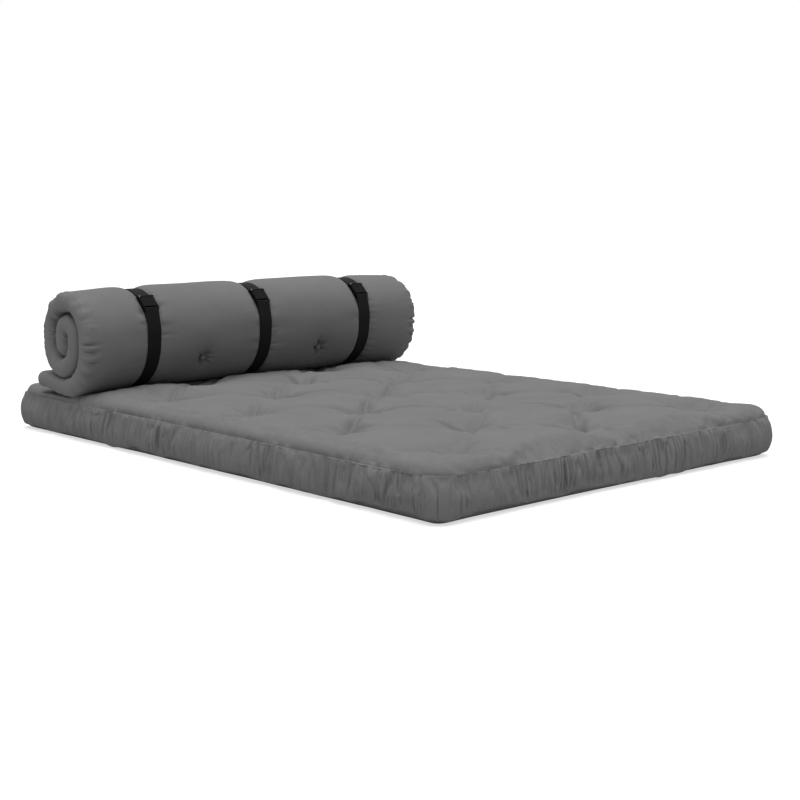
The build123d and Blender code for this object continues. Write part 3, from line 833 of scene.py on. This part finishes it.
def make_strap(number, place):
    """Webbing strap: one flat band from its sewn loop round the roll and back through the buckle."""
    dense, run = wound_line(STRAP_CIRCLES, 0.001)
    measure = run / 0.010 + np.abs(dense[:, 2] - dense[0, 2]) / 0.20
    columns = int(measure[-1])
    pick = np.linspace(0.0, measure[-1], columns + 1)
    y = np.interp(pick, measure, dense[:, 0])
    z = np.interp(pick, measure, dense[:, 1])
    heading = np.interp(pick, measure, dense[:, 2])
    length = np.interp(pick, measure, run)
    half = WEBBING / 2.0
    edge = STRAP_HALF
    band = [(-edge, 0.0), (-edge + 0.0006, half), (-edge + 0.0030, half), (-0.0080, half * 0.92)]
    band += [(0.0080, half * 0.92), (edge - 0.0030, half), (edge - 0.0006, half), (edge, 0.0)]
    band = band + [(a, -b) for a, b in band[-2:0:-1]]
    rows = len(band)
    piece, i, j = cloth_grid(f"strap_webbing_{number}", columns, rows)
    across = np.array([b[0] for b in band] + [band[0][0]])[j]
    thick = np.array([b[1] for b in band] + [band[0][1]])[j]
    y = y[i] + thick * np.sin(heading[i])
    z = z[i] - thick * np.cos(heading[i])
    place_points(piece, np.stack([place + across, y, z], axis=1))
    lay_threads(piece, length[i], across)
    only(piece)
    bpy.ops.object.mode_set(mode="EDIT")
    bpy.ops.mesh.select_all(action="SELECT")
    bpy.ops.mesh.remove_doubles(threshold=0.00001)
    bpy.ops.mesh.select_all(action="DESELECT")
    bpy.ops.mesh.select_mode(type="EDGE")
    bpy.ops.mesh.select_non_manifold()
    bpy.ops.mesh.fill()
    bpy.ops.mesh.select_all(action="SELECT")
    bpy.ops.mesh.normals_make_consistent(inside=False)
    bpy.ops.object.mode_set(mode="OBJECT")
    return piece


def make_stitches(number, place):
    """Thread that holds the sewn loop below the buckle: two bars across and a line down each side."""
    bpy.ops.object.select_all(action="DESELECT")
    bpy.ops.mesh.primitive_cylinder_add(vertices=6, radius=0.00055, depth=0.0024, location=(0, 0, 0))
    stitch = bpy.context.object
    bpy.ops.object.mode_set(mode="EDIT")
    bpy.ops.mesh.select_all(action="SELECT")
    bpy.ops.mesh.bevel(offset=0.0003, segments=1, affect="EDGES")
    bpy.ops.object.mode_set(mode="OBJECT")
    copies = []
    spots = [(x, turn, True) for turn in (13.5, 27.5) for x in np.linspace(-0.020, 0.020, 13)]
    spots += [(x, turn, False) for x in (-0.020, 0.020) for turn in np.linspace(14.8, 26.2, 9)]
    for x, turn, lying in spots:
        y, z = on_roll(OUTER_WEBBING + WEBBING / 2.0 + 0.0001, turn)
        angle = math.pi - LEAN + math.radians(turn)
        down = (0.0, -math.sin(angle), math.cos(angle))
        copies.append(copy_to(stitch, (place + x, y, z), (1.0, 0.0, 0.0) if lying else down))
    bpy.data.objects.remove(stitch)
    return joined(copies, f"strap_stitching_{number}")


PIN_SPOT = buckle_spot(0.020, 0.0074)
COIL_RADIUS = 0.0031
COIL_FROM = 0.0205
COIL_TO = 0.0240
COIL_WIRE = 0.0004


def make_spring(number, place):
    """Wire coil on the pin: one end sits in the lever, the other end in the cheek."""
    turn = np.linspace(math.pi, 6.0 * math.pi, 61)
    turn = np.concatenate([[turn[0]] * 2, turn, [turn[-1]] * 2])
    out = np.concatenate([[0.0189, 0.0189], np.linspace(COIL_FROM, COIL_TO, 61), [0.0268, 0.0268]])
    wire = np.full(len(turn), COIL_WIRE)
    wire[[0, -1]] = 0.0
    inward = (-math.cos(LEAN), math.sin(LEAN))
    upward = (math.sin(LEAN), math.cos(LEAN))
    ray = np.zeros((len(turn), 3))
    for axis in (0, 1):
        ray[:, axis + 1] = np.cos(turn) * upward[axis] - np.sin(turn) * inward[axis]
    line = ray * COIL_RADIUS + np.array([place, *PIN_SPOT])
    line[:, 0] -= out
    heading = np.gradient(line[1:-1], axis=0)
    heading = np.concatenate([heading[:1], heading, heading[-1:]])
    heading /= np.linalg.norm(heading, axis=1)[:, None]
    beside = np.cross(heading, ray)
    piece, i, j = cloth_grid(f"lever_spring_{number}", len(turn) - 1, 10)
    round_wire = 2.0 * math.pi * j / 10
    bulge = ray[i] * np.cos(round_wire)[:, None] + beside[i] * np.sin(round_wire)[:, None]
    place_points(piece, line[i] + bulge * wire[i][:, None])
    close_doubles(piece)
    return piece


# Materials
def feed(tree, node, feeds):
    """Give each named input of a node its value, or a link where it comes from another node."""
    for name, value in feeds.items():
        if isinstance(value, bpy.types.NodeSocket):
            tree.links.new(value, node.inputs[name])
        else:
            node.inputs[name].default_value = value


def add_node(tree, kind, place, feeds=None, **settings):
    """Add a shader node with its settings and inputs, and give back its outputs."""
    node = tree.nodes.new("ShaderNode" + kind)
    node.location = place
    for setting, value in settings.items():
        setattr(node, setting, value)
    feed(tree, node, feeds or {})
    return node.outputs


def new_group(name, inputs, outputs):
    """Empty node group, with what comes into it and the node that its results go to."""
    group = bpy.data.node_groups.new(name, "ShaderNodeTree")
    for way, sockets in (("INPUT", inputs), ("OUTPUT", outputs)):
        for socket, kind in sockets.items():
            group.interface.new_socket(socket, in_out=way, socket_type="NodeSocket" + kind)
    start = group.nodes.new("NodeGroupInput")
    start.location = (-900, 0)
    end = group.nodes.new("NodeGroupOutput")
    end.location = (500, 0)
    return group, start.outputs, end


def weave_group():
    """Twill: slanted ribs crossed by fine threads, uneven as spun cotton is."""
    inputs = {"Vector": "Vector", "Rib Scale": "Float"}
    group, given, end = new_group("twill_weave", inputs, {"Height": "Float", "Shade": "Float"})
    where = given["Vector"]
    feeds = {"Vector": where, "Scale": given["Rib Scale"], "Distortion": 1.2, "Detail": 1.0}
    ribs = add_node(group, "TexWave", (-600, 200), feeds, bands_direction="DIAGONAL")
    threads = add_node(group, "TexNoise", (-600, -150), {"Vector": where, "Scale": 900.0, "Detail": 2.0})
    height = add_node(group, "Mix", (-250, 100), {"Factor": 0.35, "A": ribs["Fac"], "B": threads["Fac"]})
    stretch = add_node(group, "Mapping", (-780, -450), {"Vector": where, "Scale": (1.0, 0.22, 1.0)})
    feeds = {"Vector": stretch["Vector"], "Scale": 260.0, "Detail": 3.0}
    slubs = add_node(group, "TexNoise", (-600, -450), feeds)
    shade = add_node(group, "Mix", (-250, -300), {"Factor": 0.5, "A": slubs["Fac"], "B": height["Result"]})
    feed(group, end, {"Height": height["Result"], "Shade": shade["Result"]})
    return group


def tone_group():
    """Uneven dye and wear: broad soft patches between a darker and a lighter tone."""
    inputs = {"Vector": "Vector", "Shade": "Float", "Dark": "Color", "Light": "Color"}
    group, given, end = new_group("dye_tone", inputs, {"Color": "Color"})
    feeds = {"Vector": given["Vector"], "Scale": 7.0, "Detail": 4.0}
    patches = add_node(group, "TexNoise", (-600, -150), feeds)
    both = add_node(group, "Mix", (-350, 0), {"Factor": 0.62, "A": patches["Fac"], "B": given["Shade"]})
    ramp = add_node(group, "MapRange", (-150, 0), {"Value": both["Result"], "From Min": 0.32, "From Max": 0.68})
    feeds = {"Factor": ramp["Result"], "A": given["Dark"], "B": given["Light"]}
    colour = add_node(group, "Mix", (120, 0), feeds, data_type="RGBA")
    feed(group, end, {"Color": colour["Result"]})
    return group


def scuff_group():
    """Coated metal: fine orange peel, and scuffs where fingers and webbing rub."""
    outputs = {"Scuff": "Float", "Height": "Float", "Roughness": "Float"}
    group, given, end = new_group("coating_scuffs", {"Vector": "Vector", "Amount": "Float"}, outputs)
    feeds = {"Vector": given["Vector"], "Scale": (60.0, 400.0, 400.0)}
    stretch = add_node(group, "Mapping", (-700, 200), feeds)
    feeds = {"Vector": stretch["Vector"], "Scale": 1.0, "Detail": 5.0}
    marks = add_node(group, "TexNoise", (-480, 200), feeds)
    pick = add_node(group, "MapRange", (-250, 200), {"Value": marks["Fac"], "From Min": 0.58, "From Max": 0.78})
    scuff = add_node(group, "Math", (0, 200), {0: pick["Result"], 1: given["Amount"]}, operation="MULTIPLY")
    feeds = {"Vector": given["Vector"], "Scale": 1400.0, "Detail": 2.0}
    peel = add_node(group, "TexNoise", (-480, -150), feeds)
    rough = add_node(group, "MapRange", (-200, -300), {"Value": marks["Fac"], "To Min": 0.38, "To Max": 0.60})
    feed(group, end, {"Scuff": scuff[0], "Height": peel["Fac"], "Roughness": rough["Result"]})
    return group


WEAVE = weave_group()
TONE = tone_group()
SCUFFS = scuff_group()


def new_material(name):
    material = bpy.data.materials.new(name)
    material.use_nodes = True
    tree = material.node_tree
    return material, tree, tree.nodes["Principled BSDF"]


def cloth_material(name, dark, light, rib_scale, bump, coordinate):
    """Woven cotton whose ribs follow the piece's own threads."""
    material, tree, shader = new_material(name)
    where = add_node(tree, "TexCoord", (-1100, 0))
    feeds = {"Vector": where[coordinate], "Rib Scale": rib_scale}
    weave = add_node(tree, "Group", (-800, 0), feeds, node_tree=WEAVE)
    feeds = {"Vector": where["Object"], "Shade": weave["Shade"], "Dark": (*dark, 1.0), "Light": (*light, 1.0)}
    tone = add_node(tree, "Group", (-500, 200), feeds, node_tree=TONE)
    feeds = {"Height": weave["Height"], "Strength": bump, "Distance": 0.0006}
    height = add_node(tree, "Bump", (-400, -250), feeds)
    feed(tree, shader, {"Base Color": tone["Color"], "Normal": height["Normal"], "Roughness": 0.92})
    feed(tree, shader, {"Specular IOR Level": 0.06, "Sheen Weight": 0.03, "Sheen Roughness": 0.5})
    return material


def webbing_material():
    """Black woven webbing: ribs across it, with long warp lines."""
    material, tree, shader = new_material("black_webbing")
    where = add_node(tree, "TexCoord", (-1100, 0))
    feeds = {"Vector": where["UV"], "Scale": 150.0, "Distortion": 0.6}
    ribs = add_node(tree, "TexWave", (-800, 200), feeds, bands_direction="X")
    feeds = {"Vector": where["UV"], "Scale": 110.0}
    warp = add_node(tree, "TexWave", (-800, -300), feeds, bands_direction="Y")
    weave = add_node(tree, "Mix", (-500, 0), {"Factor": 0.4, "A": ribs["Fac"], "B": warp["Fac"]})
    feeds = {"Vector": where["Object"], "Shade": weave["Result"]}
    feeds |= {"Dark": (0.0055, 0.0055, 0.0060, 1.0), "Light": (0.0140, 0.0140, 0.0148, 1.0)}
    tone = add_node(tree, "Group", (-250, 200), feeds, node_tree=TONE)
    feeds = {"Height": weave["Result"], "Strength": 0.5, "Distance": 0.0005}
    height = add_node(tree, "Bump", (-250, -200), feeds)
    feed(tree, shader, {"Base Color": tone["Color"], "Normal": height["Normal"]})
    feed(tree, shader, {"Roughness": 0.75, "Specular IOR Level": 0.1})
    return material


def metal_material(name, colour, worn, metallic, scuffs):
    """Coated or bare metal with scuffs."""
    material, tree, shader = new_material(name)
    where = add_node(tree, "TexCoord", (-900, 0))
    feeds = {"Vector": where["Object"], "Amount": scuffs}
    marks = add_node(tree, "Group", (-650, 0), feeds, node_tree=SCUFFS)
    feeds = {"Factor": marks["Scuff"], "A": (*colour, 1.0), "B": (*worn, 1.0)}
    tone = add_node(tree, "Mix", (-350, 150), feeds, data_type="RGBA")
    feeds = {"Height": marks["Height"], "Strength": 0.12, "Distance": 0.0002}
    height = add_node(tree, "Bump", (-350, -200), feeds)
    feed(tree, shader, {"Base Color": tone["Result"], "Roughness": marks["Roughness"], "Normal": height["Normal"]})
    feed(tree, shader, {"Metallic": metallic, "Specular IOR Level": 0.05})
    return material


def finish_piece(piece, body, material, nodes=(), fill=None):
    only(piece)
    bpy.ops.object.shade_smooth_by_angle(angle=math.radians(60 if fill is None else 180))
    piece.data.materials.clear()
    piece.data.materials.append(material)
    if body:
        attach(piece, body)
    if nodes:
        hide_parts(*nodes)


twill = cloth_material("grey_twill", (0.186, 0.186, 0.186), (0.232, 0.232, 0.232), 420.0, 0.25, "UV")
button_twill = cloth_material("button_twill", (0.180, 0.180, 0.180), (0.226, 0.226, 0.226), 420.0, 0.2, "Object")
felt = cloth_material("grey_felt", (0.228, 0.228, 0.236), (0.272, 0.272, 0.280), 260.0, 0.35, "Object")
webbing = webbing_material()
thread = cloth_material("black_thread", (0.012, 0.012, 0.013), (0.028, 0.028, 0.030), 900.0, 0.3, "Object")
black_metal = metal_material("black_metal", (0.005, 0.005, 0.006), (0.04, 0.04, 0.04), 0.0, 0.2)
pin_metal = metal_material("pin_metal", (0.016, 0.016, 0.017), (0.22, 0.22, 0.22), 0.6, 0.4)
spring_metal = metal_material("spring_metal", (0.36, 0.36, 0.37), (0.20, 0.20, 0.20), 1.0, 0.5)

top_cover = make_top_cover()
inside = ["mattress_upper_batting", "mattress_foam_core", "mattress_tuft_cords"]
finish_piece(top_cover, "mattress", twill, ["mattress_top_panel"] + inside, STUFFING)
for side, node in zip(make_border(), ("front", "right", "back", "left")):
    finish_piece(side, "mattress", twill, [f"mattress_border_{node}"], STUFFING)
bottom_cover = make_bottom_cover()
below = ["mattress_bottom_panel", "mattress_lower_batting"]
finish_piece(bottom_cover, "mattress", twill, below, STUFFING)
top_buttons = make_mattress_buttons("mattress_top_tuft_buttons", TOP_BUTTON_HEIGHT, (0, 0, 1))
finish_piece(top_buttons, "mattress", button_twill, ["mattress_top_buttons"])
washers = make_mattress_buttons("mattress_under_washers", WASHER_HEIGHT, (0, 0, -1))
finish_piece(washers, "mattress", felt, ["mattress_bottom_buttons"])
roll = make_roll()
wound = ["topper_outer_panel", "topper_inner_panel", "topper_filling", "topper_tuft_cords", "topper_inner_buttons"]
finish_piece(roll, "topper", twill, wound, STUFFING)
finish_piece(make_topper_buttons(), "topper", button_twill, ["topper_outer_buttons"])
for number, place in enumerate(STRAP_X, 1):
    finish_piece(make_strap(number, place), "topper", webbing, [f"strap_{number}"])
    finish_piece(make_stitches(number, place), "topper", thread)
    spring = make_spring(number, place)
    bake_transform(spring)
    finish_piece(spring, None, spring_metal, [f"buckle_spring_{number}"])
    for kind, finish in (("frame", black_metal), ("lever", black_metal), ("pin", pin_metal)):
        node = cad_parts[f"buckle_{kind}_{number}"]
        node.data.materials.clear()
        node.data.materials.append(finish)


CAMERA_PLACE = (-2.9945, -3.3583, 0.7826)
CAMERA_LOOK = (0.67093, 0.72709, -0.14400)
CAMERA_LENS = 65.27
FLOOR_TONE = 0.62
SKY_LIGHT = 0.27
SUN_FROM = (-0.04, -0.08, 1.0)
SUN_LIGHT = 2.36
SUN_SPREAD = 65.0
WHITE = (1.0, 1.0, 1.0, 1.0)


def make_camera():
    data = bpy.data.cameras.new("photo_camera")
    data.lens = CAMERA_LENS
    data.sensor_width = 36.0
    data.clip_end = 100.0
    camera = bpy.data.objects.new("photo_camera", data)
    scene.collection.objects.link(camera)
    camera.location = CAMERA_PLACE
    camera.rotation_euler = Vector(CAMERA_LOOK).to_track_quat("-Z", "Y").to_euler()
    scene.camera = camera


def make_sun():
    data = bpy.data.lights.new("overhead", "SUN")
    data.energy = SUN_LIGHT
    data.angle = math.radians(SUN_SPREAD)
    lamp = bpy.data.objects.new("overhead", data)
    scene.collection.objects.link(lamp)
    lamp.location = Vector(SUN_FROM) * 4.0
    lamp.rotation_euler = Vector(SUN_FROM).to_track_quat("Z", "Y").to_euler()


def seen_rays(tree):
    """Rays that show the white studio itself: straight from the camera, mirrored or let through."""
    path = add_node(tree, "LightPath", (-900, 0))
    total = path["Is Camera Ray"]
    for kind in ("Is Glossy Ray", "Is Transmission Ray"):
        total = add_node(tree, "Math", (-600, 0), {0: total, 1: path[kind]}, operation="MAXIMUM")[0]
    return total


def make_studio():
    """White floor that keeps the shadow, soft light from above, white all round."""
    bpy.ops.object.select_all(action="DESELECT")
    bpy.ops.mesh.primitive_plane_add(size=40.0, location=(0, 0, 0))
    floor = bpy.context.object
    floor.name = "studio_floor"
    material, tree, shader = new_material("studio_floor")
    glow = add_node(tree, "Math", (-300, 0), {0: seen_rays(tree), 1: FLOOR_TONE}, operation="MULTIPLY")
    feed(tree, shader, {"Base Color": (FLOOR_TONE, FLOOR_TONE, FLOOR_TONE, 1.0), "Roughness": 0.9})
    feed(tree, shader, {"Specular IOR Level": 0.0, "Emission Color": WHITE, "Emission Strength": glow[0]})
    floor.data.materials.append(material)
    world = bpy.data.worlds.new("studio")
    scene.world = world
    world.use_nodes = True
    tree = world.node_tree
    around = tree.nodes["Background"]
    feed(tree, around, {"Color": WHITE, "Strength": SKY_LIGHT})
    seen = add_node(tree, "Background", (-300, -200), {"Color": WHITE, "Strength": 1.0})
    mix = add_node(tree, "MixShader", (0, 0), {0: seen_rays(tree), 1: around.outputs[0], 2: seen[0]})
    feed(tree, tree.nodes["World Output"], {"Surface": mix[0]})
    make_sun()


make_camera()
make_studio()
scene.view_settings.view_transform = "Standard"
